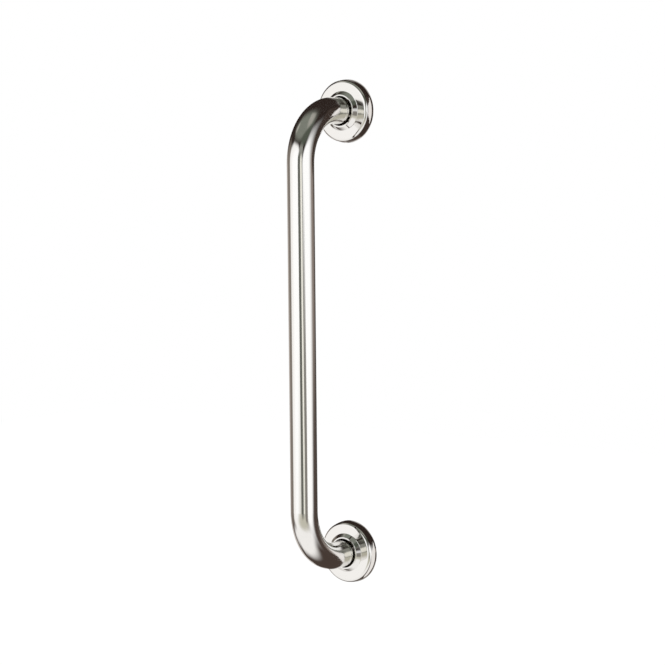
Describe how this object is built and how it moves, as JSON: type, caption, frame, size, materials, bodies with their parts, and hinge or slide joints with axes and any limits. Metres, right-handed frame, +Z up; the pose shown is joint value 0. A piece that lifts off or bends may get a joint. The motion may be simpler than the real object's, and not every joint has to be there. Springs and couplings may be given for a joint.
{
  "type": "grab bar",
  "caption": "Straight wall-mounted grab bar of bent polished tube, with round covers that slide on its ends and hide the screw plates.",
  "frame": {"origin": "centre of the lower plate's screw circle, on the wall plane", "axes": "+Z up along the bar, +Y into the wall, so the bar stands off towards -Y; +X to the right of someone facing the wall"},
  "size_m": [0.06, 0.0877, 0.485],
  "materials": {
    "polished_tube": "mirror polish, lengthwise",
    "polished_cover": "mirror polish, turned",
    "plate_steel": "mill finish",
    "weld_metal": "as welded"
  },
  "bodies": {
    "bar": {"grab_tube": "polished_tube", "lower_wall_plate": "plate_steel", "upper_wall_plate": "plate_steel", "lower_weld_bead": "weld_metal", "upper_weld_bead": "weld_metal"},
    "lower_cover": {"lower_cover": "polished_cover"},
    "upper_cover": {"upper_cover": "polished_cover"}
  },
  "joints": [
    {"name": "lower_cover_slide", "type": "slide", "parent": "bar", "child": "lower_cover", "axis": [0, -1, 0], "range_m": [0, 0.02]},
    {"name": "upper_cover_slide", "type": "slide", "parent": "bar", "child": "upper_cover", "axis": [0, -1, 0], "range_m": [0, 0.02]}
  ]
}
